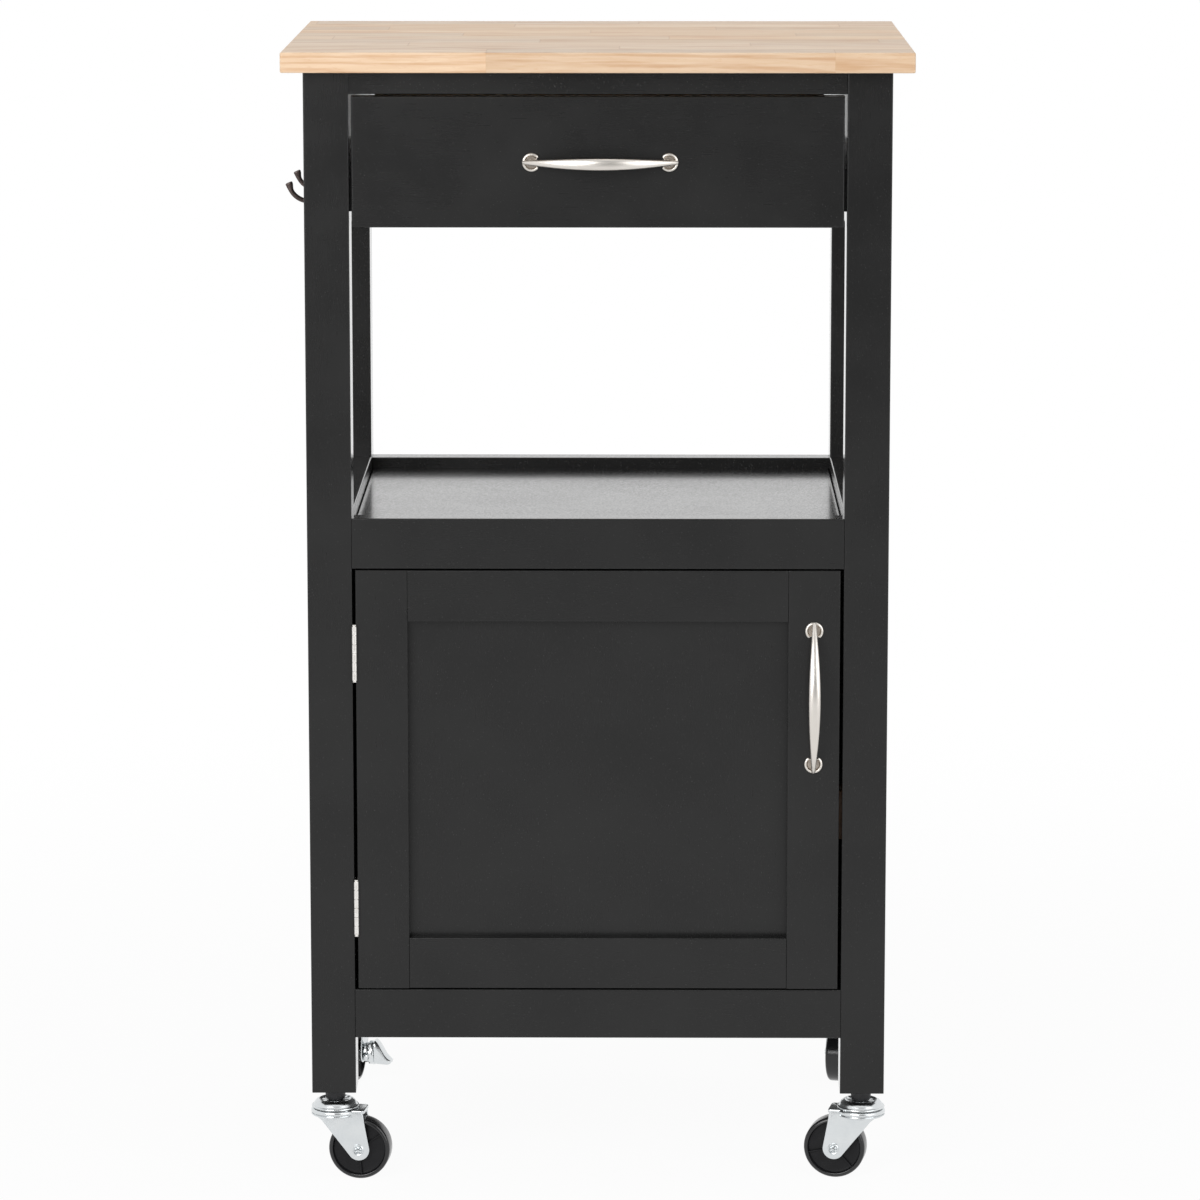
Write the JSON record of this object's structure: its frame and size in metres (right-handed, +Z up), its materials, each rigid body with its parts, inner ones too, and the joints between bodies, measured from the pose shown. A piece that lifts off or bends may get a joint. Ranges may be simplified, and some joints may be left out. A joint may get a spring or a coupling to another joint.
{
  "type": "kitchen serving cart",
  "caption": "Tall narrow kitchen serving cart with a wooden worktop over a black frame, drawer, open shelf, cupboard door, towel hooks and swivelling casters.",
  "frame": {"origin": "on the floor, under the middle of the worktop", "axes": "+X to the cart's right as seen from the front, +Y to the back, +Z up"},
  "size_m": [0.5024, 0.3954, 0.914],
  "materials": {
    "black_paint": "satin black paint over solid wood",
    "worktop_wood": "pale wood glued from staves, clear satin lacquer",
    "drawer_wood": "bare sanded wood",
    "drawer_ply": "thin plywood, sanded",
    "zinc": "bright zinc plating",
    "black_steel": "black coated steel",
    "satin_nickel": "satin nickel plating",
    "hinge_nickel": "dull nickel plating",
    "catch_plastic": "moulded brown plastic",
    "socket_plastic": "moulded black plastic",
    "hook_bronze": "dark bronze coating on cast metal",
    "wheel_plastic": "moulded black plastic, polished on the tread"
  },
  "bodies": {
    "cart": {"front_left_leg": "black_paint", "front_right_leg": "black_paint", "rear_left_leg": "black_paint", "rear_right_leg": "black_paint", "front_top_rail": "black_paint", "rear_top_rail": "black_paint", "left_apron": "black_paint", "right_apron": "black_paint", "front_mid_rail": "black_paint", "rear_mid_rail": "black_paint", "front_bottom_rail": "black_paint", "rear_bottom_rail": "black_paint", "left_side_panel": "black_paint", "right_side_panel": "black_paint", "back_panel": "black_paint", "shelf_board": "black_paint", "cabinet_floor": "black_paint", "shelf_cleats": "black_paint", "top_panel": "worktop_wood", "frame_screws": "zinc", "slide_rails": "black_steel", "hinge_frame_leaves": "hinge_nickel", "hinge_pins": "hinge_nickel", "magnetic_catch": "catch_plastic", "towel_hooks": "hook_bronze", "stem_sockets": "socket_plastic", "caster_stems": "zinc"},
    "drawer": {"drawer_front": "black_paint", "drawer_left_side": "drawer_wood", "drawer_right_side": "drawer_wood", "drawer_back": "drawer_wood", "drawer_bottom": "drawer_ply", "drawer_handle": "satin_nickel", "drawer_handle_screws": "zinc", "drawer_runner_screws": "zinc", "slide_runners": "black_steel"},
    "door": {"door_hinge_stile": "black_paint", "door_latch_stile": "black_paint", "door_top_rail": "black_paint", "door_bottom_rail": "black_paint", "door_panel": "black_paint", "door_handle": "satin_nickel", "door_handle_screws": "zinc", "door_screws": "zinc", "hinge_door_leaves": "hinge_nickel", "strike_plate": "zinc"},
    "front_left_caster": {"front_left_fork": "zinc", "front_left_axle": "zinc"},
    "front_left_wheel_body": {"front_left_wheel": "wheel_plastic"},
    "front_right_caster": {"front_right_fork": "zinc", "front_right_axle": "zinc"},
    "front_right_wheel_body": {"front_right_wheel": "wheel_plastic"},
    "rear_left_caster": {"rear_left_fork": "zinc", "rear_left_axle": "zinc"},
    "rear_left_wheel_body": {"rear_left_wheel": "wheel_plastic"},
    "rear_left_brake": {"rear_left_brake_lever": "zinc"},
    "rear_right_caster": {"rear_right_fork": "zinc", "rear_right_axle": "zinc"},
    "rear_right_wheel_body": {"rear_right_wheel": "wheel_plastic"},
    "rear_right_brake": {"rear_right_brake_lever": "zinc"}
  },
  "joints": [
    {"name": "drawer_slide", "type": "slide", "parent": "cart", "child": "drawer", "axis": [0, -1, 0], "range_m": [0, 0.225]},
    {"name": "door_hinge", "type": "hinge", "parent": "cart", "child": "door", "pos_m": [-0.1939, -0.178, 0.33165], "axis": [0, 0, -1], "range_deg": [0, 170]},
    {"name": "front_left_swivel", "type": "hinge", "parent": "cart", "child": "front_left_caster", "pos_m": [-0.21325, -0.15825, 0.0575], "axis": [0, 0, 1], "continuous": true},
    {"name": "front_left_wheel_spin", "type": "hinge", "parent": "front_left_caster", "child": "front_left_wheel_body", "pos_m": [-0.1929, -0.16075, 0.025], "axis": [0.1219, 0.9925, 0], "continuous": true},
    {"name": "front_right_swivel", "type": "hinge", "parent": "cart", "child": "front_right_caster", "pos_m": [0.21325, -0.15825, 0.0575], "axis": [0, 0, 1], "continuous": true},
    {"name": "front_right_wheel_spin", "type": "hinge", "parent": "front_right_caster", "child": "front_right_wheel_body", "pos_m": [0.19313, -0.15434, 0.025], "axis": [-0.1908, -0.9816, 0], "continuous": true},
    {"name": "rear_left_swivel", "type": "hinge", "parent": "cart", "child": "rear_left_caster", "pos_m": [-0.21325, 0.16225, 0.0575], "axis": [0, 0, 1], "continuous": true},
    {"name": "rear_left_wheel_spin", "type": "hinge", "parent": "rear_left_caster", "child": "rear_left_wheel_body", "pos_m": [-0.21681, 0.14206, 0.025], "axis": [0.9848, -0.1736, 0], "continuous": true},
    {"name": "rear_left_brake_press", "type": "hinge", "parent": "rear_left_caster", "child": "rear_left_brake", "pos_m": [-0.21681, 0.14206, 0.025], "axis": [0.9848, -0.1736, 0], "range_deg": [0, 25]},
    {"name": "rear_right_swivel", "type": "hinge", "parent": "cart", "child": "rear_right_caster", "pos_m": [0.21325, 0.16225, 0.0575], "axis": [0, 0, 1], "continuous": true},
    {"name": "rear_right_wheel_spin", "type": "hinge", "parent": "rear_right_caster", "child": "rear_right_wheel_body", "pos_m": [0.20829, 0.14236, 0.025], "axis": [0.9703, -0.2419, 0], "continuous": true},
    {"name": "rear_right_brake_press", "type": "hinge", "parent": "rear_right_caster", "child": "rear_right_brake", "pos_m": [0.20829, 0.14236, 0.025], "axis": [0.9703, -0.2419, 0], "range_deg": [0, 25]}
  ]
}
